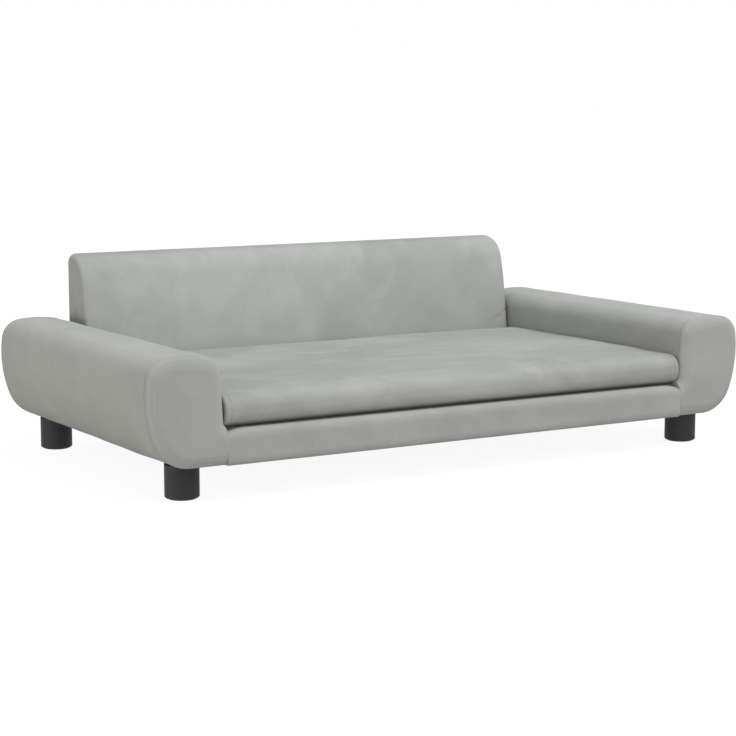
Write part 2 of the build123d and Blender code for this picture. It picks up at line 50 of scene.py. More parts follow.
# Sizes of the bed, in millimetres, the same as the frame's
HALF_WIDTH = 500.0
HALF_DEPTH = 270.0
FOOT_HEIGHT = 47.0
RAIL_TOP = 96.0
BACK_FRONT_Y = 190.0
BACK_BOTTOM = 96.3
BACK_TOP = 292.0
BACK_HALF_WIDTH = 387.47
BACK_RAKE_RADIUS = 650.0
BACK_CREST_RADIUS = 45.0
BASE_HALF_WIDTH = 384.45
CUSHION_BOTTOM = 96.3
CUSHION_FRONT_Y = -262.0
CUSHION_REAR_Y = 189.7
CUSHION_HALF_WIDTH = 388.09
CUSHION_EDGE_HEIGHT = 44.7
CUSHION_HEIGHT = 48.7
CUSHION_RADIUS = 20.5
ZIP_Y = 137.7
ZIP_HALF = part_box("zip_tapes")[1][0] / MM

# Arcs of the arm's outline, and the seam between its wrap and its ends
ARM_TOP = 197.8
ARM_INNER_X = HALF_WIDTH - 115.5
ARM_LEAN = 8.4
BELLY_Z = 146.0
BELLY_RADIUS = 174.5
CROWN_RADIUS = 198.5
LOW_RADIUS = 55.7
OUTER_RADIUS = 31.5
INNER_RADIUS = 26.6
COVE_RADIUS = 10.0
ARM_SEAM_Y = 256.0
ARM_RIM = 13.0
ARM_RIM_REACH = 19.0

# Soft edges of the other pads
BASE_RIM = 0.25
BACK_RIM = 5.0
BACK_REAR_RIM = 11.0
CUSHION_RIM = 4.0
CORNER_DRAW = 3.0
LOW_END_RADIUS = 12.0

# Camera, fitted to the photo's outlines
LENS = 95.6476
CAMERA_PLACE = (-1.53891, -2.53921, 0.53774)
CAMERA_PITCH = 81.9497
CAMERA_YAW = -31.0874


def add_object(name, data):
    """A new object in the scene."""
    made = bpy.data.objects.new(name, data)
    bpy.context.scene.collection.objects.link(made)
    return made


def make_camera():
    data = bpy.data.cameras.new("camera")
    data.lens = LENS
    data.sensor_width = 36.0
    data.clip_end = 50.0
    camera = add_object("camera", data)
    camera.location = CAMERA_PLACE
    camera.rotation_euler = (math.radians(CAMERA_PITCH), 0.0, math.radians(CAMERA_YAW))
    bpy.context.scene.camera = camera


make_camera()


# Falls and rises that shape and paint the pads

def bell(distance, width):
    """1 at no distance, falling off smoothly over the width."""
    return np.exp(-((distance / width) ** 2))


def ramp(value, start, reach):
    """0 up to the start, rising to 1 over the reach. A negative reach rises downwards."""
    return np.clip((value - start) / reach, 0, 1)


def waves(points, seed, sizes, depth):
    """Gentle rises and falls over a surface, a few sines in fixed directions."""
    rng = np.random.default_rng(seed)
    total = np.zeros(len(points))
    for size in sizes:
        for _ in range(4):
            direction = rng.normal(size=3)
            direction /= np.linalg.norm(direction)
            phase = rng.uniform(0, 2 * math.pi)
            total += np.sin(points @ direction * (2 * math.pi / size) + phase)
    return total / math.sqrt(4 * len(sizes)) * depth


def seam_dip(distance):
    """How far cloth is pulled in at a distance from a seam."""
    return 0.7 * bell(distance, 0.9) + 0.3 * math.exp(-distance / 6.0)


# Meshes

def smooth_object(name, mesh):
    mesh.polygons.foreach_set("use_smooth", [True] * len(mesh.polygons))
    mesh.update()
    return add_object(name, mesh)


def finish_mesh(name, points, faces):
    """A smooth closed mesh from millimetre points, with its faces turned outwards."""
    points = np.asarray(points, float)
    triangles = [f[:3] for f in faces] + [(f[0], f[2], f[3]) for f in faces if len(f) == 4]
    a, b, c = (points[corner] for corner in np.array(triangles).T)
    if np.sum(a * np.cross(b, c)) < 0:
        faces = [tuple(reversed(f)) for f in faces]
    mesh = bpy.data.meshes.new(name)
    mesh.from_pydata((points * MM).tolist(), [], [tuple(int(i) for i in f) for f in faces])
    mesh.validate()
    return smooth_object(name, mesh)


def paint(piece, name, values):
    """A number for each point, read by the materials."""
    attribute = piece.data.attributes.new(name, "FLOAT", "POINT")
    attribute.data.foreach_set("value", np.asarray(values, np.float32))


def ring_faces(rings, count, first=0):
    """Faces between neighbouring rings of points, from the point with number first."""
    return [(first + k * count + i, first + k * count + (i + 1) % count,
             first + (k + 1) * count + (i + 1) % count, first + (k + 1) * count + i)
            for k in range(rings - 1) for i in range(count)]


def tube_faces(rings, count, first):
    """Faces of a closed tube through rings of points, with a flat cap at each end."""
    last = first + (rings - 1) * count
    caps = [tuple(reversed(range(first, first + count))), tuple(range(last, last + count))]
    return ring_faces(rings, count, first) + caps


def skin(loops):
    """Points and faces of a closed form through rings of points, each end closed to its middle."""
    rings, count = len(loops), len(loops[0])
    points = np.vstack([*loops, loops[0].mean(0), loops[-1].mean(0)])
    first, last, base = rings * count, rings * count + 1, (rings - 1) * count
    faces = ring_faces(rings, count)
    faces += [((i + 1) % count, i, first) for i in range(count)]
    faces += [(base + i, base + (i + 1) % count, last) for i in range(count)]
    return points, faces


def side_ring(x, flat):
    """An outline that is seen from the side, placed across the bed."""
    return np.stack([np.full(len(flat), x), flat[:, 0], flat[:, 1]], 1)


def closing_rings(x, shape, drawn_in, shares):
    """Rings that close the end of a form, shrunk towards the middle of its outline."""
    centre = shape.mean(0)
    return [side_ring(x, centre + (shape - drawn_in - centre) * share) for share in shares]


def arc(centre, radius, start, end, step=1.0):
    """Points along an arc, angles in degrees."""
    count = max(3, int(abs(math.radians(end - start)) * radius / step))
    angles = np.radians(np.linspace(start, end, count))
    return np.stack([centre[0] + radius * np.cos(angles), centre[1] + radius * np.sin(angles)], 1)


def resample(path, count, soften):
    """A closed outline, its corners softened, as evenly spaced points with outward normals."""
    finer = 8
    closed = np.vstack([path, path[:1]])
    steps = np.hypot(*np.diff(closed, axis=0).T)
    closed = closed[np.append(steps > 1e-9, True)]
    steps = np.hypot(*np.diff(closed, axis=0).T)
    along = np.append(0, np.cumsum(steps))
    fine = np.linspace(0, along[-1], count * finer, endpoint=False)
    frequency = np.fft.fftfreq(len(fine), along[-1] / len(fine))
    blur = np.exp(-2 * (math.pi * frequency * soften) ** 2)
    x, z = (np.real(np.fft.ifft(np.fft.fft(np.interp(fine, along, line)) * blur)) for line in closed.T)
    points = np.stack([x, z], 1)
    tangent = np.roll(points, -1, 0) - np.roll(points, 1, 0)
    tangent /= np.linalg.norm(tangent, axis=1)[:, None]
    normals = np.stack([tangent[:, 1], -tangent[:, 0]], 1)
    if np.sum(x * np.roll(z, -1) - np.roll(x, -1) * z) < 0:
        normals = -normals
    return points[::finer], normals[::finer]


def grid_line(low, high, count):
    """Positions along an edge, closer together near both ends."""
    rim = 8
    t = np.sin(np.linspace(0, math.pi / 2, 8))
    middle = np.linspace(low + rim, high - rim, count)
    return np.unique(np.concatenate([low + rim * (1 - t), middle, high - rim * (1 - t)]).round(6))


def clear_of_coves(points, half_width):
    """Rounds the lower end edges of a piece between the arms, which the arms' coves fill."""
    x = np.abs(points[:, 0]) - (half_width - LOW_END_RADIUS)
    z = BACK_BOTTOM + LOW_END_RADIUS - points[:, 2]
    reach = np.hypot(x, z)
    outside = (x > 0) & (z > 0) & (reach > LOW_END_RADIUS)
    shrink = LOW_END_RADIUS / reach[outside]
    side = np.sign(points[outside, 0])
    points[outside, 0] = side * (half_width - LOW_END_RADIUS + x[outside] * shrink)
    points[outside, 2] = BACK_BOTTOM + LOW_END_RADIUS - z[outside] * shrink


# Cloth simulation

VOXEL = 0.006
PRESSURE = 4
CLOTH_STEPS = 20
NEIGHBOURS = 8


def coordinates(mesh):
    """The mesh's points, in millimetres."""
    flat = np.empty(3 * len(mesh.vertices))
    mesh.vertices.foreach_get("co", flat)
    return flat.reshape(-1, 3) / MM


def evaluated_mesh(piece):
    """The piece's mesh as its modifiers leave it."""
    evaluated = piece.evaluated_get(bpy.context.evaluated_depsgraph_get())
    return bpy.data.meshes.new_from_object(evaluated)


def swell(piece, cap, weight):
    """Blows up a pad in a cloth simulation and moves its points by up to the cap, in millimetres.

    The weight says how far each point may follow along each axis."""
    pad = add_object("pad", piece.data.copy())
    grid = pad.modifiers.new("grid", "REMESH")
    grid.mode = "VOXEL"
    grid.voxel_size = VOXEL
    pad.data = evaluated_mesh(pad)
    pad.modifiers.clear()
    start = coordinates(pad.data)
    cloth = pad.modifiers.new("cloth", "CLOTH").settings
    cloth.use_pressure = True
    cloth.uniform_pressure_force = PRESSURE
    cloth.effector_weights.gravity = 0
    for step in range(1, CLOTH_STEPS + 1):
        bpy.context.scene.frame_set(step)
    moved = coordinates(evaluated_mesh(pad)) - start
    bpy.context.scene.frame_set(1)
    bpy.data.objects.remove(pad)
    far = np.percentile(np.linalg.norm(moved, axis=1), 98)
    moved *= cap / max(far, cap)
    length = np.linalg.norm(moved, axis=1)
    moved *= (np.minimum(length, cap) / np.maximum(length, 1e-9))[:, None]
    tree = KDTree(len(start))
    for k, place in enumerate(start):
        tree.insert(place, k)
    tree.balance()
    points = coordinates(piece.data)
    for k in np.flatnonzero(weight.any(1)):
        near = tree.find_n(points[k], NEIGHBOURS)
        shares = np.array([1 / (n[2] + 2.0) for n in near])
        step = sum(share * moved[n[1]] for share, n in zip(shares, near)) / shares.sum()
        points[k] += step * weight[k]
    piece.data.vertices.foreach_set("co", (points * MM).ravel())
    piece.data.update()


# Outlines

def circle_cross(one, r1, two, r2, pick):
    """Where two circles cross, the crossing with the larger dot with pick."""
    gap = np.linalg.norm(two - one)
    along = (r1**2 - r2**2 + gap**2) / (2 * gap)
    across = math.sqrt(max(r1**2 - along**2, 0))
    axis = (two - one) / gap
    side = np.array([-axis[1], axis[0]])
    options = [one + axis * along + side * across, one + axis * along - side * across]
    return max(options, key=lambda p: float(np.dot(p, pick)))


def degrees(vector):
    return math.degrees(math.atan2(vector[1], vector[0]))


def arm_geometry():
    """The inner face's normal and the centres of the arcs in the right arm's outline."""
    slope = ARM_LEAN / (ARM_TOP - FOOT_HEIGHT)
    secant = math.sqrt(1 + slope**2)
    face_normal = np.array([-1 / secant, slope / secant])

    def on_face(z):
        return np.array([ARM_INNER_X + slope * (z - FOOT_HEIGHT), z])

    belly = np.array([HALF_WIDTH - BELLY_RADIUS, BELLY_Z])
    crown = np.array([(on_face(ARM_TOP)[0] + HALF_WIDTH) / 2, ARM_TOP - CROWN_RADIUS])
    low_z = FOOT_HEIGHT + LOW_RADIUS
    low_reach = math.sqrt((BELLY_RADIUS - LOW_RADIUS) ** 2 - (BELLY_Z - low_z) ** 2)
    low = np.array([belly[0] + low_reach, low_z])
    outer = circle_cross(belly, BELLY_RADIUS - OUTER_RADIUS, crown, CROWN_RADIUS - OUTER_RADIUS, (1, 1))
    z = 160.0
    for _ in range(60):
        inner = on_face(z) - INNER_RADIUS * face_normal
        z += (CROWN_RADIUS - INNER_RADIUS - np.linalg.norm(inner - crown)) * 0.9
    inner = on_face(z) - INNER_RADIUS * face_normal
    cove = on_face(RAIL_TOP + COVE_RADIUS) + face_normal * COVE_RADIUS
    return face_normal, belly, crown, low, outer, inner, cove


ARM = arm_geometry()


def arm_path(inset, sunk=0.0):
    """The right arm's outline drawn in by an inset, as points and outward normals.

    The side that lies against the base is drawn in by sunk only."""
    face_normal, belly, crown, low, outer, inner, cove = ARM
    toe_x = ARM_INNER_X + sunk
    points, normals = [], []

    def straight(start, end, normal, count):
        for share in np.linspace(0, 1, count, endpoint=False):
            points.append(np.array(start) + (np.array(end) - np.array(start)) * share)
            normals.append(np.array(normal, float))

    def bend(centre, radius, start, end, count, sign=1.0):
        for a in np.radians(np.linspace(start, end, count, endpoint=False)):
            way = np.array([math.cos(a), math.sin(a)])
            points.append(centre + way * radius)
            normals.append(way * sign)

    low_end, belly_end = degrees(low - belly), degrees(outer - belly)
    outer_end, crown_end = degrees(outer - crown), degrees(inner - crown)
    bottom = FOOT_HEIGHT + inset
    cove_radius = COVE_RADIUS + inset
    turn = 0.3 + 0.7 * inset
    drop = math.sqrt((cove_radius + turn) ** 2 - (toe_x + turn - cove[0]) ** 2)
    corner = np.array([toe_x + turn, cove[1] - drop])
    cove_end = degrees(corner - cove)
    face_top = inner + face_normal * (INNER_RADIUS - inset)
    straight((toe_x, bottom), (low[0], bottom), (0, -1), 16)
    bend(low, LOW_RADIUS - inset, -90, low_end, 26)
    bend(belly, BELLY_RADIUS - inset, low_end, belly_end, 30)
    bend(outer, OUTER_RADIUS - inset, belly_end, outer_end, 22)
    bend(crown, CROWN_RADIUS - inset, outer_end, crown_end, 24)
    bend(inner, INNER_RADIUS - inset, crown_end, degrees(face_normal), 24)
    straight(face_top, cove - face_normal * cove_radius, face_normal, 24)
    bend(cove, cove_radius, degrees(-face_normal), cove_end, 14, -1.0)
    bend(corner, turn, cove_end + 180, 180, 10)
    straight((toe_x, corner[1]), (toe_x, bottom), (-1, 0), 14)
    return np.array(points), np.array(normals)


def base_outline():
    """The base seen from the side."""
    low, high, d = FOOT_HEIGHT, RAIL_TOP, HALF_DEPTH
    return np.vstack([
        arc((-d + 5, low + 5), 5, 180, 270, 0.4),
        arc((d - 3, low + 3), 3, 270, 360, 0.4),
        arc((d - 3, high - 3), 3, 0, 90, 0.4),
        arc((-d + 9, high - 9), 9, 90, 180, 0.4),
    ])


def back_outline():
    """The backrest seen from the side."""
    centre = np.array([BACK_FRONT_Y + BACK_RAKE_RADIUS, BACK_BOTTOM])
    crest_z = BACK_TOP - BACK_CREST_RADIUS
    reach = math.sqrt((BACK_RAKE_RADIUS - BACK_CREST_RADIUS) ** 2 - (crest_z - BACK_BOTTOM) ** 2)
    crest = np.array([centre[0] - reach, crest_z])
    crest_end = degrees(crest - centre)
    return np.vstack([
        arc((BACK_FRONT_Y + 14, BACK_BOTTOM + 14), 14, 180, 270, 0.5),
        arc((HALF_DEPTH - 3, BACK_BOTTOM + 3), 3, 270, 360, 0.4),
        arc((HALF_DEPTH - 15, BACK_TOP - 15), 15, 0, 90, 0.5),
        arc(crest, BACK_CREST_RADIUS, 90, crest_end, 0.8),
        arc(centre, BACK_RAKE_RADIUS, crest_end, 180 - 1.2, 1.0),
    ])


# Stitches

STITCH_PITCH = 4.6

# Rings along a thread: share of its length, thickness and lift
STITCH_RINGS = ((-0.5, 0.35, -0.35), (-0.36, 0.95, 0.0), (0, 1, 0.12), (0.36, 0.95, 0.0), (0.5, 0.35, -0.35))


def stitch_mesh(name, runs, length=3.0, radius=0.22):
    """Short threads lying along lines. Each run is a list of points and outward normals."""
    points, faces = [], []
    around = [2 * math.pi * i / 6 for i in range(6)]
    for line, normals in runs:
        for a, b, up in zip(line[:-1], line[1:], normals):
            gap = np.linalg.norm(b - a)
            if gap < 1e-6:
                continue
            along = (b - a) / gap
            up = up - along * np.dot(up, along)
            up /= np.linalg.norm(up)
            across = np.cross(along, up)
            faces += tube_faces(len(STITCH_RINGS), len(around), len(points))
            for share, thick, lift in STITCH_RINGS:
                middle = (a + b) / 2 + along * length * share + up * lift * radius
                ways = [across * math.cos(t) + up * math.sin(t) for t in around]
                points += [middle + way * radius * thick for way in ways]
    return finish_mesh(name, points, faces)


def spaced(line, normals, pitch, closed=True):
    """Points every pitch along a line, with their normals."""
    line, normals = np.asarray(line, float), np.asarray(normals, float)
    if closed:
        line = np.vstack([line, line[:1]])
        normals = np.vstack([normals, normals[:1]])
    along = np.append(0, np.cumsum(np.linalg.norm(np.diff(line, axis=0), axis=1)))
    at = np.linspace(0, along[-1], max(2, int(along[-1] / pitch)) + 1)
    return tuple(np.stack([np.interp(at, along, row) for row in rows.T], 1) for rows in (line, normals))


# Materials

class Nodes:
    """The nodes of a material or world, added one at a time. Each call gives the new outputs."""

    def __init__(self, owner):
        owner.use_nodes = True
        self.owner = owner
        self.tree = owner.node_tree

    def set(self, node, socket, value):
        """Links an output to an input, or sets the input to a constant."""
        if isinstance(value, bpy.types.NodeSocket):
            self.tree.links.new(value, node.inputs[socket])
        else:
            node.inputs[socket].default_value = value

    def add(self, kind, inputs=None, **settings):
        node = self.tree.nodes.new("ShaderNode" + kind)
        for key, value in settings.items():
            setattr(node, key, value)
        for socket, value in (inputs or {}).items():
            self.set(node, socket, value)
        return node.outputs

    def place(self):
        """Where a point lies on the piece."""
        return self.add("TexCoord")["Object"]

    def stretched(self, scale, shift=(0.0, 0.0, 0.0)):
        """Where a point lies on the piece, moved and stretched."""
        return self.add("Mapping", {"Vector": self.place(), "Location": shift, "Scale": scale})["Vector"]

    def noise(self, place, scale, detail, roughness=0.5, distortion=0.0):
        return self.add("TexNoise", {"Vector": place, "Scale": scale, "Detail": detail,
                                     "Roughness": roughness, "Distortion": distortion})["Fac"]

    def wave(self, place, scale, distortion, detail, direction):
        return self.add("TexWave", {"Vector": place, "Scale": scale, "Distortion": distortion,
                                    "Detail": detail}, bands_direction=direction)["Fac"]

    def painted(self, name):
        """The numbers that paint() gave the piece."""
        return self.add("Attribute", attribute_name=name)["Fac"]

    def spread(self, value, low=0.0, high=1.0, to_low=0.0, to_high=1.0, kind="LINEAR"):
        """The value, with the range from low to high turned into another."""
        return self.add("MapRange", {"Value": value, "From Min": low, "From Max": high,
                                     "To Min": to_low, "To Max": to_high}, interpolation_type=kind)["Result"]

    def math(self, operation, *values):
        return self.add("Math", dict(enumerate(values)), operation=operation)["Value"]

    def scaled(self, colour, factor):
        return self.add("VectorMath", {0: colour, "Scale": factor}, operation="SCALE")["Vector"]

    def mixed(self, share, dark, light):
        """A colour between the dark one and the light one."""
        return self.add("Mix", {0: share, 6: (*dark, 1), 7: (*light, 1)}, data_type="RGBA")[2]

    def bump(self, height, strength, distance, under=None):
        inputs = {"Height": height, "Strength": strength, "Distance": distance}
        if under is not None:
            inputs["Normal"] = under
        return self.add("Bump", inputs)["Normal"]

    def surface(self, inputs):
        """The material, with these inputs on its surface."""
        for socket, value in inputs.items():
            self.set(self.tree.nodes["Principled BSDF"], socket, value)
        return self.owner


def velvet(name, light, dark, mottle, stretch=(1.0, 1.0, 1.0), seed=0.0):
    """Short-pile velvet: brushed patches and a fine pile. Painted shade laid by the seam number darkens it,
    and a painted highlight with some rubbed pile lightens edges and tops.
    """
    nodes = Nodes(bpy.data.materials.new(name))
    place = nodes.stretched(stretch, (seed, seed * 0.7, seed * 0.3))
    broad = nodes.noise(place, 6.0, 3.0, 0.55, 0.9)
    brushed = nodes.noise(place, 12.0, 4.0, 0.6, 1.4)
    patches = nodes.spread(broad, 0.36, 0.64, kind="SMOOTHSTEP")
    strokes = nodes.spread(brushed, 0.44, 0.6, kind="SMOOTHSTEP")
    nap = nodes.math("MULTIPLY_ADD", strokes, 0.45, patches)
    nap = nodes.spread(nap, 0.0, 1.45, 0.5 - 0.5 * mottle, 0.5 + 0.5 * mottle)
    pile = nodes.noise(nodes.place(), 1500.0, 2.0, 0.6)
    colour = nodes.scaled(nodes.mixed(nap, dark, light), nodes.spread(pile, 0.3, 0.7, 0.93, 1.07))
    # Painted shade: the seam number darkens the cloth, down to a fifth, in seam grooves, gaps and shaded
    # faces.
    colour = nodes.scaled(colour, nodes.spread(nodes.painted("seam"), to_low=1.0, to_high=0.2))
    # Painted highlight with some rubbed pile: this number lightens edges and tops where the light falls.
    colour = nodes.scaled(colour, nodes.spread(nodes.painted("wear_and_highlight"), to_low=1.0, to_high=1.09))
    fibres = nodes.bump(pile, 0.25, 0.0003)
    return nodes.surface({
        "Base Color": colour, "Normal": nodes.bump(brushed, 0.3, 0.0012, fibres), "Roughness": 0.88,
        "Sheen Weight": 0.28, "Sheen Roughness": 0.35, "Sheen Tint": (0.93, 0.95, 0.92, 1),
        "Specular IOR Level": 0.15,
    })


def wood(name, light, dark, ring=26.0, rough=0.6):
    """Bare timber or board: long grain and fine pores."""
    nodes = Nodes(bpy.data.materials.new(name))
    place = nodes.stretched((1.0, 9.0, 9.0))
    grain = nodes.wave(place, ring, 6.0, 3.0, "Z")
    figure = nodes.math("MULTIPLY_ADD", nodes.noise(place, 180.0, 4.0, 0.65), 0.5, grain)
    colour = nodes.mixed(nodes.spread(figure, 0.0, 1.4), dark, light)
    relief = nodes.bump(figure, 0.2, 0.0004)
    return nodes.surface({"Base Color": colour, "Normal": relief, "Roughness": rough})


def plastic(name, colour, rough, scuff=0.5):
    """Moulded plastic or cast metal with a fine spark texture and paler scuffs."""
    nodes = Nodes(bpy.data.materials.new(name))
    place = nodes.place()
    fine = nodes.noise(place, 900.0, 2.0)
    marks = nodes.noise(place, 45.0, 6.0, 0.75, 1.2)
    scuffed = tuple(min(1, c * 1.8 + 0.012) for c in colour)
    share = nodes.spread(marks, 0.55, 0.75, 0.0, scuff, kind="SMOOTHSTEP")
    gloss = nodes.spread(marks, to_low=rough, to_high=min(rough + 0.2, 1))
    return nodes.surface({"Base Color": nodes.mixed(share, colour, scuffed), "Roughness": gloss,
                          "Normal": nodes.bump(fine, 0.12, 0.0002)})


def metal(name, colour, rough=0.35):
    """Plated steel with faint spangle and fingerprints in the gloss."""
    nodes = Nodes(bpy.data.materials.new(name))
    place = nodes.place()
    spangle = nodes.add("TexVoronoi", {"Vector": place, "Scale": 350.0})["Distance"]
    smear = nodes.noise(place, 80.0, 5.0, 0.7)
    gloss = nodes.spread(smear, to_low=rough - 0.12, to_high=rough + 0.2)
    tint = nodes.mixed(spangle, [c * 0.85 for c in colour], colour)
    return nodes.surface({"Base Color": tint, "Metallic": 1.0, "Roughness": gloss})


def woven(name, colour, pitch, depth=0.0003):
    """A plain woven or felted cloth with crossing threads."""
    nodes = Nodes(bpy.data.materials.new(name))
    place = nodes.place()
    warp, weft = (nodes.wave(place, pitch / 6.28, 0.6, 2.0, direction) for direction in "XY")
    cross = nodes.math("MULTIPLY", warp, weft)
    total = nodes.math("MULTIPLY_ADD", nodes.noise(place, 30.0, 4.0), 0.6, cross)
    tint = nodes.mixed(total, [c * 0.7 for c in colour], [min(c * 1.2, 1) for c in colour])
    return nodes.surface({"Base Color": tint, "Normal": nodes.bump(cross, 0.4, depth), "Roughness": 0.9})


LIGHT = (0.50, 0.512, 0.495)
DARK = (0.415, 0.425, 0.41)
# The backrest's velvet is the same cloth painted lighter: a painted highlight for the light that falls on the
# backrest.
BACK_LIT_LIGHT = (0.54, 0.555, 0.54)
BACK_LIT_DARK = (0.45, 0.463, 0.45)
velvet_arm = velvet("velvet_arm", LIGHT, DARK, mottle=0.55, seed=3.1)
velvet_base = velvet("velvet_base", LIGHT, DARK, mottle=0.6, seed=8.4)
velvet_back_lit = velvet("velvet_back_lit", BACK_LIT_LIGHT, BACK_LIT_DARK, mottle=0.95, stretch=(1.0, 1.0, 0.85), seed=5.7)
velvet_seat = velvet("velvet_seat", LIGHT, DARK, mottle=1.25, stretch=(0.7, 1.25, 1.0), seed=11.9)
thread = woven("thread", (0.5, 0.51, 0.49), pitch=4000.0, depth=0.0001)
plywood = wood("plywood", (0.66, 0.5, 0.32), (0.5, 0.35, 0.2))
softwood = wood("softwood", (0.76, 0.6, 0.38), (0.62, 0.44, 0.25), ring=18.0)
fibreboard = wood("fibreboard", (0.36, 0.24, 0.14), (0.27, 0.17, 0.1), ring=60.0, rough=0.75)
foot_plastic = plastic("foot_plastic", (0.006, 0.006, 0.0062), rough=0.5, scuff=0.35)
glide_felt = woven("glide_felt", (0.03, 0.03, 0.03), pitch=3000.0)
steel = metal("steel", (0.62, 0.62, 0.6))
zip_metal = plastic("zip_metal", (0.3, 0.31, 0.3), rough=0.3)
zip_nylon = plastic("zip_nylon", (0.3, 0.31, 0.3), rough=0.45)
zip_cloth = woven("zip_cloth", (0.34, 0.35, 0.34), pitch=2500.0)
dust_cloth = woven("dust_cloth", (0.03, 0.03, 0.03), pitch=1500.0)


def dress(piece, material, body):
    """Gives a new piece its material and slot, and the body that it rides on."""
    piece.data.materials.clear()
    piece.data.materials.append(material)
    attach(piece, body)
    return piece


# Arms

ARM_NORMALS = arm_path(0.0)[1]
COUNT = len(ARM_NORMALS)
ARM_MIDDLE = np.array([444.0, 104.0])
SIDES = {1: "right", -1: "left"}
ENDS = {-1: "front", 1: "rear"}
SEAM_GAP = 0.15
# Strengths of the painted shade in the seam groove and, below, in the topstitch grooves
SEAM_SHADE = 0.16
TOPSTITCHES = (12.5, 19.5)
TOPSTITCH_DEPTH = 0.2
TOPSTITCH_SHADE = 0.07


def arm_ring(y, inset, sunk=0.0, share=1.0):
    """The arm's outline at a depth, drawn in by an inset, then shrunk to a share of its size."""
    flat = ARM_MIDDLE + (arm_path(inset, sunk)[0] - ARM_MIDDLE) * share
    return np.stack([flat[:, 0], np.full(COUNT, y), flat[:, 1]], 1)


def hidden_rings(y):
    """Rings that close a piece behind its seam, from the middle outwards."""
    return [arm_ring(y, 3.4, share=0.35), arm_ring(y, 3.4, share=0.7), arm_ring(y, 3.2)]


def flipped(points, side):
    return points * (side, 1, 1)


def make_arm_wrap(side, seed):
    limit = ARM_SEAM_Y - SEAM_GAP
    near_seam = [0, 0.5, 1.0, 1.6, 2.3, 3.2, 4.4, 6.0, 8.5, 12, 17]
    gaps = np.concatenate([near_seam, np.linspace(24, limit, 44)])
    rings = hidden_rings(-limit)
    seam_shades = [np.ones(3 * COUNT)]
    for y in np.unique(np.concatenate([gaps - limit, limit - gaps]).round(4)):
        gap = limit - abs(y)
        rings.append(arm_ring(y, seam_dip(gap)))
        # Painted shade in the groove on either side of the seam. The hidden closing rings are painted fully
        # dark.
        seam_shades.append(np.full(COUNT, SEAM_SHADE * bell(gap, 1.0)))
    rings += reversed(hidden_rings(limit))
    seam_shades.append(np.ones(3 * COUNT + 2))
    points, faces = skin(rings)
    outward = np.stack([ARM_NORMALS[:, 0], np.zeros(COUNT), ARM_NORMALS[:, 1]], 1)
    normals = np.vstack([outward] * len(rings) + [np.zeros((2, 3))])
    lift = (waves(points, seed, (90, 160, 260), 0.35) - 0.25) * ramp(np.abs(points[:, 1]), limit, -10)
    points += normals * lift[:, None]
    piece = finish_mesh(SIDES[side] + "_arm_velvet_wrap", flipped(points, side), faces)
    x, y, z = points.T
    # Painted shade: the arm's inner face is darkened, more towards the bottom, where the seat and the other
    # arm keep light off it.
    inner_side_shade = 0.24 * ramp(x, 400, -8) * ramp(z, 190, -70)
    paint(piece, "seam", np.maximum(np.concatenate(seam_shades), inner_side_shade))
    # Painted highlight with some rubbed pile: the arm's top, above 178 mm, is lightened where the light
    # falls.
    paint(piece, "wear_and_highlight", ramp(z, 178, 16))
    return piece


def end_profile():
    """Rows from an arm's seam over its rim to the flat: depth, inset, distance from the seam, slope."""
    rows = [(ARM_SEAM_Y + SEAM_GAP + d, 0.0, d, 0.0) for d in (0.0, 0.4, 0.8)]
    for a in np.radians(np.linspace(4, 90, 30)):
        depth = ARM_SEAM_Y + 1.0 + ARM_RIM * math.sin(a)
        inset = ARM_RIM_REACH * (1 - math.cos(a))
        run = rows[-1][2] + math.hypot(depth - rows[-1][0], inset - rows[-1][1])
        rows.append((depth, inset, run, math.atan2(ARM_RIM_REACH * math.sin(a), ARM_RIM * math.cos(a))))
    return rows


def rim_sink(inset):
    """How far the side against the base is drawn in, for a softened edge there."""
    return 0.06 * (1 - math.exp(-inset / 3.0))


def make_arm_end(side, end, seed):
    """The padded velvet end of an arm."""
    rings = hidden_rings((ARM_SEAM_Y + SEAM_GAP) * end)
    seam_shades, rim_wear_and_highlight = [np.ones(3 * COUNT)], [np.zeros(3 * COUNT)]
    outer_side = 0.4 + 0.6 * ramp(ARM_NORMALS[:, 0], -0.1, 0.6)
    rows = end_profile()
    for depth, inset, run, slope in rows:
        stitch_gaps = [run - at for at in TOPSTITCHES]
        pull = seam_dip(run) + sum(TOPSTITCH_DEPTH * bell(gap, 0.8) for gap in stitch_gaps)
        y = (depth - pull * math.sin(slope)) * end
        rings.append(arm_ring(y, inset + pull * math.cos(slope), rim_sink(inset)))
        # Painted shade in the seam groove and in the two topstitch grooves, stronger on the outer side.
        groove_shade = SEAM_SHADE * bell(run, 1.0) + sum(TOPSTITCH_SHADE * bell(gap, 0.9) for gap in stitch_gaps)
        seam_shades.append(groove_shade * outer_side)
        # Painted highlight with some rubbed pile: a lighter band along the rounded rim, where the light
        # catches it.
        rim_wear_and_highlight.append(0.5 * bell(run - 9.0, 4.0) * outer_side)
    depth, inset = rows[-1][:2]
    shares = np.linspace(0.965, 0.05, 20)
    rings += [arm_ring(depth * end, inset, rim_sink(inset), share) for share in shares]
    plain = np.zeros(len(shares) * COUNT)
    points, faces = skin(rings)
    x, y, z = points.T
    lift = waves(points, seed, (45, 80), 0.2) + 1.6 * bell(x - 446, 48) * bell(z - 122, 58)
    points[:, 1] += end * lift * ramp(np.abs(y), 260, 10)
    piece = finish_mesh(f"{SIDES[side]}_arm_{ENDS[end]}_velvet", flipped(points, side), faces)
    paint(piece, "seam", np.clip(np.concatenate([*seam_shades, plain, [1, 0]]), 0, 1))
    paint(piece, "wear_and_highlight", np.concatenate([*rim_wear_and_highlight, plain, [0, 0]]))
    return piece


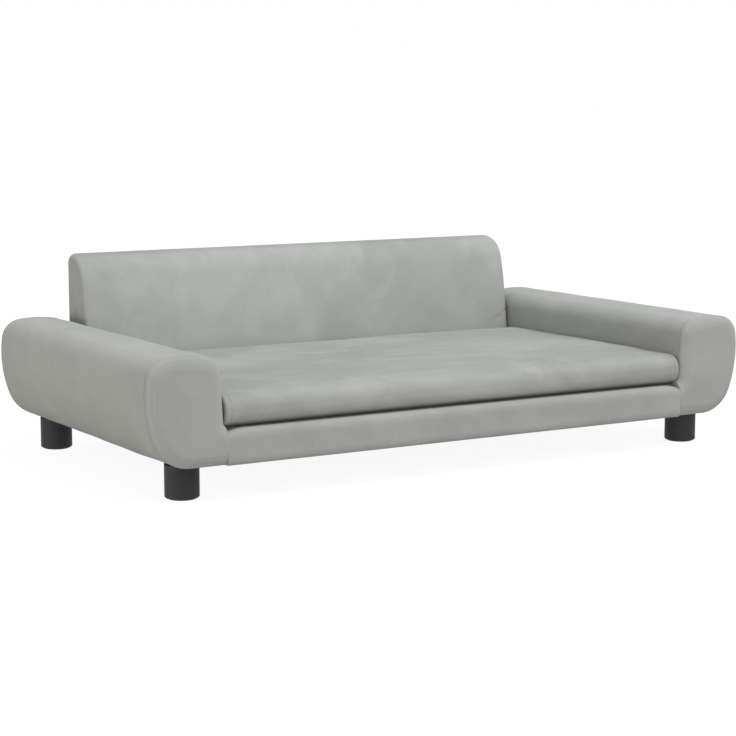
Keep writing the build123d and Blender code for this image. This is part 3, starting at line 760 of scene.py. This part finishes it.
def arm_stitches(side, end):
    """Thread in the two topstitched lines of an arm's end."""
    rows = end_profile()
    runs = []
    for at in TOPSTITCHES:
        depth, inset, _, slope = min(rows, key=lambda row: abs(row[2] - at))
        sine, cosine = math.sin(slope), math.cos(slope)
        y = (depth - TOPSTITCH_DEPTH * sine) * end
        line = arm_ring(y, inset + TOPSTITCH_DEPTH * cosine, rim_sink(inset))
        across, up = ARM_NORMALS.T * cosine
        normals = np.stack([across, np.full(COUNT, end * sine), up], 1)
        runs.append(spaced(flipped(line, side), flipped(normals, side), STITCH_PITCH))
    return stitch_mesh(f"{SIDES[side]}_arm_{ENDS[end]}_stitches", runs)


for side, word in SIDES.items():
    wrap = dress(make_arm_wrap(side, 20 + side), velvet_arm, "bed")
    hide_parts(word + "_arm_wrap", word + "_arm_foam")
    for end, place in ENDS.items():
        panel = dress(make_arm_end(side, end, 40 + 2 * side + end), velvet_arm, "bed")
        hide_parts(f"arm_{place}_panels", f"arm_{place}_pads")
        dress(arm_stitches(side, end), thread, "bed")


# Base

CREVICE_Y = -248
CREVICE_DEPTH = 1.3


def make_base():
    half = BASE_HALF_WIDTH
    shape, normals = resample(base_outline(), 190, soften=0.4)
    edge = [(half - BASE_RIM * (1 - math.cos(a)), BASE_RIM * (1 - math.sin(a)))
            for a in np.linspace(0, math.pi / 2, 7)]
    inner = np.concatenate([np.linspace(2 - half, 40 - half, 14), np.linspace(50 - half, half - 50, 90),
                            np.linspace(half - 40, half - 2, 14)])
    stations = [(-x, inset) for x, inset in edge] + [(x, 0.0) for x in inner] + edge[::-1]
    rings = closing_rings(-half, shape, normals * BASE_RIM, (0.5, 0.85))
    rings += [side_ring(x, shape - normals * inset) for x, inset in stations]
    rings += closing_rings(half, shape, normals * BASE_RIM, (0.85, 0.5))
    points, faces = skin(rings)
    x, y, z = points.T
    front = ramp(-y, 238, 20)
    front_face = ramp(-y, 262, 6)
    droop = 5.0 * ramp(np.abs(x), half - 28, 28) ** 2 * front * front * (3 - 2 * front) * ramp(z, 70, 20)
    points[:, 2] -= droop
    points[:, 1] -= (waves(points, 61, (70, 130, 240), 0.35) - 0.3) * front_face
    points[:, 2] -= CREVICE_DEPTH * bell(y - CREVICE_Y, 8) * (z > 90)
    piece = finish_mesh("base_velvet", points, faces)
    # Painted shade in the narrow gap under the cushion's front edge, on the base's top behind the rail.
    crevice_shade = ramp(y, -261, 5) * ramp(y, -232, -12) * ramp(z, 88, 4) * ramp(np.abs(x), half - 1, -6)
    paint(piece, "seam", 0.6 * crevice_shade)
    # Painted highlight with some rubbed pile: the top of the rail's front face is lightened where the light
    # falls.
    paint(piece, "wear_and_highlight", 0.5 * ramp(z, 88, 6) * front_face)
    return piece


base = dress(make_base(), velvet_base, "bed")
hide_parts("base_cover", "base_foam")


# Backrest

PANEL_INSET = 16.0
PANEL_HALF = BACK_HALF_WIDTH - PANEL_INSET
PANEL_LOW = BACK_BOTTOM + PANEL_INSET
PANEL_HIGH = BACK_TOP - PANEL_INSET
FOLD_X = 352
FOLD_Z = 146
FOLD_SLOPE = 0.62


def make_back():
    half = BACK_HALF_WIDTH
    shape, normals = resample(back_outline(), 240, soften=0.8)
    rim = BACK_RIM + (BACK_REAR_RIM - BACK_RIM) * ramp(shape[:, 0], 222, 30)
    edge = [(half - rim * (1 - math.cos(a)), (rim * (1 - math.sin(a)))[:, None])
            for a in np.linspace(0, math.pi / 2, 16)]
    panel_edge = PANEL_HALF + np.array([-2.0, 0.0, 1.0])
    inner = np.concatenate([-panel_edge, np.linspace(20 - half, half - 20, 130), panel_edge])
    inner = np.unique(inner[(np.abs(inner) < half - BACK_REAR_RIM - 0.5)].round(3))
    stations = [(-x, inset) for x, inset in edge] + [(x, 0.0) for x in inner] + edge[::-1]
    rings = closing_rings(-half, shape, normals * rim[:, None], (0.3, 0.6, 0.85))
    rings += [side_ring(x, shape - normals * inset) for x, inset in stations]
    rings += closing_rings(half, shape, normals * rim[:, None], (0.85, 0.6, 0.3))
    points, faces = skin(rings)
    x, y, z = points.T.copy()
    front = ramp(y, 236, -10) * ramp(z, BACK_BOTTOM, 20)
    on_front = ramp(y, 232, -8)
    end_seam = bell(np.abs(x) - (half - 3.0), 1.6) * on_front
    fold = bell(z - FOLD_Z - (x - FOLD_X) * FOLD_SLOPE, 3.0) * ramp(x, FOLD_X - 2, 14) * on_front
    points[:, 1] -= (waves(points, 71, (60, 110, 190, 320), 0.6) - 0.3) * front
    points[:, 1] += 0.5 * end_seam + 1.4 * fold
    on_panel = (np.abs(x) < PANEL_HALF + 0.01) & (z > PANEL_LOW) & (z < PANEL_HIGH)
    points[(y > HALF_DEPTH - 0.6) & on_panel, 1] = HALF_DEPTH - 1.6
    clear_of_coves(points, half)
    free = front * ramp(np.abs(x), half - 16, -40) * ramp(z, 148, 40)
    points[:, 1] += 1.2 * (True) * free
    piece = finish_mesh("back_velvet", points, faces)
    swell(piece, 2.5, np.stack([0 * x, free, 0 * x], 1))
    # Painted shade on the backrest's ends, shut in between the arms, darker below about 200 mm.
    shut_in_shade = ramp(np.abs(x), half - 4, 3) * (0.13 + 0.35 * ramp(z, 200, -16))
    # Painted shade along the very top of the backrest, above 287 mm.
    crest = 0.14 * ramp(z, 287, 4)
    # The seam number carries painted shade in the end seam and fold creases, together with the end and top
    # shade.
    paint(piece, "seam", np.maximum.reduce([0.06 * end_seam, 0.12 * fold, shut_in_shade, crest]))
    return piece


def make_back_panel():
    """The velvet panel let into the rear, with a turned edge and a stitched groove."""
    groove = 5.0
    xs = grid_line(0.4 - PANEL_HALF, PANEL_HALF - 0.4, 120)
    zs = grid_line(PANEL_LOW + 0.4, PANEL_HIGH - 0.4, 30)
    x, z = (line.ravel() for line in np.meshgrid(xs, zs, indexing="ij"))
    edge = np.minimum.reduce([x - xs[0], xs[-1] - x, z - zs[0], zs[-1] - z])
    face = HALF_DEPTH - 1.3 + 1.2 * (1 - np.exp(-edge / 1.2))
    face -= 0.35 * bell(edge - groove, 0.9) + 0.25 * np.minimum(edge / 60, 1)
    behind = np.full(len(x), HALF_DEPTH - 1.45)
    points = np.vstack([np.stack([x, y, z], 1) for y in (behind, face)])

    def index(layer, i, j):
        return (layer * len(xs) + i) * len(zs) + j

    last_i, last_j = len(xs) - 1, len(zs) - 1
    faces = []
    for layer in (0, 1):
        for i in range(last_i):
            for j in range(last_j):
                face = (index(layer, i, j), index(layer, i, j + 1),
                        index(layer, i + 1, j + 1), index(layer, i + 1, j))
                faces.append(face if layer else tuple(reversed(face)))
    rim = [(i, 0) for i in range(last_i)] + [(last_i, j) for j in range(last_j)]
    rim += [(i, last_j) for i in range(last_i, 0, -1)] + [(0, j) for j in range(last_j, 0, -1)]
    for a, b in zip(rim, rim[1:] + rim[:1]):
        faces.append((index(1, *a), index(1, *b), index(0, *b), index(0, *a)))
    piece = finish_mesh("back_rear_velvet", points, faces)
    # Painted shade along the panel's turned edge and in its stitched groove.
    paint(piece, "seam", np.tile(bell(edge, 1.0) + 0.35 * bell(edge - groove, 0.8), 2))
    left, right, low, high = xs[0] + groove, xs[-1] - groove, zs[0] + groove, zs[-1] - groove
    corners = [(left, low), (right, low), (right, high), (left, high)]
    y = np.full(50, HALF_DEPTH - 0.35)
    runs = []
    for a, b in zip(corners, corners[1:] + corners[:1]):
        line = np.stack([np.linspace(a[0], b[0], 50), y, np.linspace(a[1], b[1], 50)], 1)
        runs.append(spaced(line, np.tile((0, 1, 0), (50, 1)), STITCH_PITCH, closed=False))
    return piece, stitch_mesh("back_rear_stitches", runs)


back = dress(make_back(), velvet_back_lit, "bed")
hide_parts("back_cover", "back_foam")
rear_panel, rear_stitches = make_back_panel()
dress(rear_panel, velvet_back_lit, "bed")
dress(rear_stitches, thread, "bed")
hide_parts("back_rear_panel")


# Seat cushion, first drawn round its own middle

CUSHION_HALF_DEPTH = (CUSHION_REAR_Y - CUSHION_FRONT_Y) / 2
CUSHION_MIDDLE_Y = (CUSHION_REAR_Y + CUSHION_FRONT_Y) / 2
CUSHION_HALF_EDGE = CUSHION_EDGE_HEIGHT / 2
CUSHION_SEAM_X = CUSHION_HALF_WIDTH - 9.5
ZIP_LOCAL_Y = ZIP_Y - CUSHION_MIDDLE_Y


def cushion_profile():
    """The cushion seen from the side, from its rear edge round underneath, as points and normals."""
    reach_y, reach_z = CUSHION_HALF_DEPTH - CUSHION_RADIUS, CUSHION_HALF_EDGE - CUSHION_RADIUS
    slot_edges = [ZIP_LOCAL_Y + d for d in (-5.0, -4.4, -3.5, 0.0, 3.5, 4.4, 5.0)]
    low = np.sort(np.concatenate([np.linspace(reach_y, -reach_y, 68)[1:-1], slot_edges]))[::-1]
    points, normals = [], []

    def bend(y, z, start, end, count):
        for a in np.radians(np.linspace(start, end, count)):
            way = np.array([math.cos(a), math.sin(a)])
            points.append(np.array([y, z]) + way * CUSHION_RADIUS)
            normals.append(way)

    def flat(ys, z, normal):
        for y in ys:
            points.append(np.array([y, z]))
            normals.append(np.array([0.0, normal]))

    bend(reach_y, reach_z, 0.0, 0.0, 1)
    bend(reach_y, -reach_z, 0.0, -90.0, 16)
    flat(low, -CUSHION_HALF_EDGE, -1.0)
    bend(-reach_y, -reach_z, -90.0, -180.0, 20)
    bend(-reach_y, reach_z, 180.0, 90.0, 20)
    flat(np.linspace(-reach_y, reach_y, 80)[1:-1], CUSHION_HALF_EDGE, 1.0)
    bend(reach_y, reach_z, 90.0, 6.0, 15)
    return np.array(points), np.array(normals)


def crown_at(x, y, z):
    """How much higher the cushion's cover is than its edge."""
    u, v = (np.clip(np.abs(c), 0, 1) for c in (x / CUSHION_HALF_WIDTH, y / CUSHION_HALF_DEPTH))
    top = np.clip(z / CUSHION_HALF_EDGE * 0.5 + 0.5, 0, 1)
    return (CUSHION_HEIGHT - CUSHION_EDGE_HEIGHT) * (1 - u**3) * (1 - v**2.4) * top**2


def corner_draw(x, y):
    """How far the cushion's front left corner is drawn in, away from the arm."""
    forward = ramp(-y, CUSHION_HALF_DEPTH - 110, 110) ** 1.5
    return CORNER_DRAW * forward * ramp(-x, CUSHION_HALF_WIDTH - 90, 90)


def cushion_stations():
    """Positions across the cushion, each with how far the outline is drawn in there."""
    half, rim = CUSHION_HALF_WIDTH, CUSHION_RIM
    edge = [(half - 1.6 + 1.6 * i / 15.0, rim + 15.0 - i) for i in (0.0, 3.0, 6.0, 9.0, 12.0, 14.0)]
    edge += [(half - rim * (1 - math.cos(a)), rim * (1 - math.sin(a)))
             for a in np.linspace(0, math.pi / 2, 10)]
    near_end = half - rim - np.concatenate([np.arange(0.8, 12.0, 0.8), [13.0, 15.0, 18.0, 22.0]])
    right = np.concatenate([near_end, [ZIP_HALF + 3, ZIP_HALF + 3.6, 356, 361]])
    inner = np.unique(np.concatenate([right, -right, np.linspace(-350, 350, 117)]).round(3))
    return [(-x, inset) for x, inset in edge] + [(x, 0.0) for x in inner] + edge[::-1]


def make_cushion():
    half_x, half_y, half_z = CUSHION_HALF_WIDTH, CUSHION_HALF_DEPTH, CUSHION_HALF_EDGE
    shape, normals = cushion_profile()
    rings = [side_ring(x, shape - normals * inset) for x, inset in cushion_stations()]
    points, faces = skin(rings)
    x, y, z = points.T.copy()
    u, v = np.clip(x / half_x, -1, 1), np.clip(y / half_y, -1, 1)
    up = np.clip(z / half_z, 0, 1)
    from_end = np.abs(x)
    points[:, 2] += crown_at(x, y, z)
    points[:, 1] += 2.5 * (1 - u**2) * np.sign(-v) * v**2
    points[:, 0] -= 1.2 * (1 - v**2) * np.sign(u) * ramp(from_end, half_x - 60, 60)
    points[:, 0] += corner_draw(x, y)
    points[:, 2] += (waves(points, 81, (70, 120, 200, 330), 0.55) - 0.3) * up**2
    points[:, 1] -= (waves(points, 83, (60, 140), 0.4) - 0.3) * ramp(-y, half_y - 14, 10)
    low = z < -half_z + 0.4
    sewn = ~low & (from_end < half_x - CUSHION_RIM)
    seam_gap = from_end - CUSHION_SEAM_X
    dip = (0.25 + 0.35 * (x > 0)) * bell(seam_gap, 1.2) * sewn
    points[:, 1:] -= np.vstack([normals] * len(rings) + [np.zeros((2, 2))]) * dip[:, None]
    slot = low & (from_end <= ZIP_HALF + 3) & (np.abs(y - ZIP_LOCAL_Y) < 4.45)
    points[slot, 2] += 4.6
    points += (0, CUSHION_MIDDLE_Y, CUSHION_BOTTOM + half_z)
    clear_of_coves(points, half_x)
    points[:, 2] -= 2.0 * (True) * (1 - u**4) * (1 - v**4) * up**2
    piece = finish_mesh("cushion_velvet", points, faces)
    away = ramp(from_end, half_x - 14, -40)
    forward = ramp(-y, half_y - 34, 28) * ramp(z, -14, 22)
    swell(piece, 4.0, np.stack([0 * x, 0.5 * away * forward, away * up**2], 1))
    # Painted shade under the front bullnose, where it curls down into the gap above the base.
    under = 0.7 * ramp(-z, half_z * 0.68, half_z * 0.28) * ramp(-y, half_y - 26, 12)
    # Painted shade on the cushion's ends, shut in against the arms.
    shut_in_shade = 0.15 * (from_end > half_x - 2.0)
    seam = np.maximum.reduce([0.12 * bell(seam_gap, 1.0) * sewn, under, shut_in_shade])
    # Painted shade in the seam grooves, under the front, on the ends and in the zip slot's recess.
    paint(piece, "seam", np.clip(seam + 0.5 * slot, 0, 1))
    # Painted highlight with some rubbed pile: a lighter band over the front bullnose, centred about 48
    # degrees up.
    rise = np.degrees(np.arctan2(z, -(y + half_y - CUSHION_RADIUS)))
    on_front_edge = (y < -half_y + CUSHION_RADIUS) & (z > 0)
    paint(piece, "wear_and_highlight", 0.9 * ramp(np.abs(rise - 48), 40, -40) * on_front_edge)
    return piece


def make_cushion_stitches():
    """Thread in the seam near each end of the cushion, over the top and round the edges."""
    shape, normals = cushion_profile()
    shown = normals[:, 1] > -0.75
    order = np.roll(np.arange(len(shape)), -int(np.argmin(shown)))
    order = order[shown[order]]
    y, z = (shape[order] - normals[order] * 0.55).T
    ups = side_ring(0.0, normals[order])
    runs = []
    for x in (-CUSHION_SEAM_X, CUSHION_SEAM_X):
        line = np.stack([x + corner_draw(x, y), y + CUSHION_MIDDLE_Y,
                         z + crown_at(x, y, z) + CUSHION_BOTTOM + CUSHION_HALF_EDGE], 1)
        runs.append(spaced(line, ups, 5.2, closed=False))
    return stitch_mesh("cushion_stitches", runs, length=2.6, radius=0.32)


cushion = dress(make_cushion(), velvet_seat, "cushion")
dress(make_cushion_stitches(), thread, "cushion")
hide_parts("cushion_cover", "cushion_foam")


# Zip

TAPE_Z = 98.95
COIL_Z = 98.1
COIL_PITCH = 1.6
COIL_THREAD = 0.27


def make_tapes():
    """A cloth tape on each side of the slit, slightly rippled underneath."""
    xs = np.linspace(-ZIP_HALF, ZIP_HALF, 161)
    ys = [1.0, 1.6, 3.0, 6.0, 9.0, 12.4, 13.0]
    points, faces = [], []
    for sign in (-1, 1):
        faces += tube_faces(len(xs), 2 * len(ys), len(points))
        for n, x in enumerate(xs):
            ring = [(x, ZIP_Y + sign * y, TAPE_Z - 0.25 + 0.05 * math.sin(n * 0.9 + y)) for y in ys]
            ring += [(x, ZIP_Y + sign * y, TAPE_Z + 0.3) for y in reversed(ys)]
            points += ring[::sign]
    return finish_mesh("zip_tape_cloth", points, faces)


def make_coils():
    """Nylon coils either side of the slit: a thread wound round each tape's edge."""
    steps = 6
    reach = ZIP_HALF - 3
    t = np.arange(int(2 * reach / COIL_PITCH) * steps + 1) / steps
    around = np.arange(6)[:, None] * math.pi / 3
    points, faces = [], []
    for sign in (-1, 1):
        xs = -reach + t * COIL_PITCH + (0.8 if sign > 0 else 0.0)
        angle = t * 2 * math.pi * sign
        ys = ZIP_Y + sign * 2.05 + 0.85 * np.cos(angle)
        path = np.stack([xs, ys, COIL_Z + 0.3 * np.sin(angle)], 1)
        tangent = np.gradient(path, axis=0)
        tangent /= np.linalg.norm(tangent, axis=1)[:, None]
        across = np.cross(tangent, (0.0, 0.0, 1.0))
        across /= np.linalg.norm(across, axis=1)[:, None]
        up = np.cross(across, tangent)
        ways = across[:, None] * np.cos(around) + up[:, None] * np.sin(around)
        rings = path[:, None] + COIL_THREAD * ways
        faces += tube_faces(len(rings), len(around), len(points))
        points += list(rings.reshape(-1, 3))
    return finish_mesh("zip_coil_nylon", points, faces)


tapes = dress(make_tapes(), zip_cloth, "cushion")
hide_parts("zip_tapes")
coils = dress(make_coils(), zip_nylon, "cushion")
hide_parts("zip_coils")


# Dust cover and its staples

DUST_LOW, DUST_HIGH = (np.array(corner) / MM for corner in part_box("dust_cover"))
DUST_SAG = 1.4
STAPLE_INSET = 5.0
STAPLE_PITCH = 48


def make_dust_cover():
    """One sheet, stretched under the base, with a slight sag and puckers between its staples."""
    nx, ny = 60, 44
    (x0, y0, z0), (x1, y1, _) = DUST_LOW, DUST_HIGH
    x, y = np.meshgrid(np.linspace(x0, x1, nx + 1), np.linspace(y0, y1, ny + 1))
    edge = np.minimum.reduce([x - x0, x1 - x, y - y0, y1 - y])
    pucker = 0.18 * np.sin(x / 9.5) * np.sin(y / 9.5) * np.exp(-edge / 25)
    z = z0 + 0.25 - DUST_SAG * ramp(edge, 0, 120) ** 0.6 + pucker
    starts = [j * (nx + 1) + i for j in range(ny) for i in range(nx)]
    faces = [(a, a + nx + 1, a + nx + 2, a + 1) for a in starts]
    mesh = bpy.data.meshes.new("dust_cloth_sheet")
    mesh.from_pydata((np.stack([x, y, z], 2).reshape(-1, 3) * MM).tolist(), [], faces)
    return smooth_object("dust_cloth_sheet", mesh)


def make_staples():
    (x0, y0), (x1, y1) = DUST_LOW[:2] + STAPLE_INSET, DUST_HIGH[:2] - STAPLE_INSET
    z = DUST_LOW[2] - 0.1
    corners = np.array([(x0, y0, z), (x1, y0, z), (x1, y1, z), (x0, y1, z)])
    down = np.tile((0, 0, -1), (2, 1))
    runs = []
    for a, b in zip(corners, np.roll(corners, -1, 0)):
        length = np.linalg.norm(b - a)
        half_staple = (b - a) / length * 5
        count = int(length / STAPLE_PITCH)
        for share in np.linspace(0.5 / count, 1 - 0.5 / count, count):
            middle = a + (b - a) * share
            runs.append((np.array([middle - half_staple, middle + half_staple]), down))
    return stitch_mesh("dust_cloth_staples", runs, length=10.0, radius=0.45)


dust = dress(make_dust_cover(), dust_cloth, "bed")
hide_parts("dust_cover")
dress(make_staples(), steel, "bed")


# Finishes of the pieces that keep their built shape

FINISHES = {
    "plywood": plywood, "softwood": softwood, "fibreboard": fibreboard, "foot_plastic": foot_plastic,
    "glide_felt": glide_felt, "steel": steel, "zip_metal": zip_metal, "zip_tape": zip_cloth,
    "zip_coil": zip_nylon, "foam": dust_cloth, "velvet": velvet_arm, "dust_cloth": dust_cloth,
}
slots = {s["node"]: s["material_slot"] for s in frame["record"]["subparts"]}
for name, piece in frame["nodes"].items():
    piece.data.materials.clear()
    piece.data.materials.append(FINISHES[slots[name]])


# Floor, light and background

WHITE = (1, 1, 1, 1)
FLOOR_BOUNCE = (0.6, 0.59, 0.57, 1)
FLOOR_SHADE = (0.16, 0.16, 0.16, 1)
FLOOR_GLOW = 0.925
ROOM_LIGHT = 0.52


def backdrop(nodes, output, lighting, seen):
    """Shows one shader to the rays that see the backdrop, and another to those that light the bed."""
    path = nodes.add("LightPath")
    mirrored = nodes.math("MAXIMUM", path["Is Camera Ray"], path["Is Glossy Ray"])
    share = nodes.math("MAXIMUM", mirrored, path["Is Transmission Ray"])
    mix = nodes.add("MixShader", {0: share, 1: lighting, 2: seen})[0]
    nodes.add(output, {"Surface": mix})


def make_floor():
    """A white floor that keeps the bed's shadow."""
    bpy.ops.mesh.primitive_plane_add(size=40, location=(0, 0, 0))
    floor = bpy.context.object
    floor.name = "floor"
    material = bpy.data.materials.new("floor")
    nodes = Nodes(material)
    nodes.tree.nodes.clear()
    bounce = nodes.add("BsdfDiffuse", {"Color": FLOOR_BOUNCE})[0]
    shade = nodes.add("BsdfDiffuse", {"Color": FLOOR_SHADE})[0]
    glow = nodes.add("Emission", {"Strength": FLOOR_GLOW})[0]
    white = nodes.add("AddShader", {0: shade, 1: glow})[0]
    backdrop(nodes, "OutputMaterial", bounce, white)
    floor.data.materials.append(material)


def make_world():
    world = bpy.data.worlds.new("world")
    bpy.context.scene.world = world
    nodes = Nodes(world)
    nodes.tree.nodes.clear()
    room = nodes.add("Background", {"Color": WHITE, "Strength": ROOM_LIGHT})[0]
    white = nodes.add("Background", {"Color": WHITE, "Strength": 1.0})[0]
    backdrop(nodes, "OutputWorld", room, white)


def lamp(name, place, size, power, tint=(1.0, 1.0, 1.0)):
    """A round lamp that faces the bed."""
    data = bpy.data.lights.new(name, "AREA")
    data.shape = "DISK"
    data.size = size
    data.energy = power
    data.color = tint
    light = add_object(name, data)
    light.location = place
    x, y, z = np.array((0, 0, 0.1)) - place
    light.rotation_euler = (math.pi / 2 - math.atan2(-z, math.hypot(x, y)), 0, math.atan2(y, x) - math.pi / 2)


make_floor()
make_world()
lamp("key", (1.0, -1.2, 3.2), 2.2, 41)
lamp("front", (-0.2, -3.6, 1.8), 2.5, 20)
lamp("side", (-2.5, -0.3, 0.22), 0.4, 7.5, (1.0, 0.94, 0.86))

bpy.context.scene.view_settings.view_transform = "Standard"
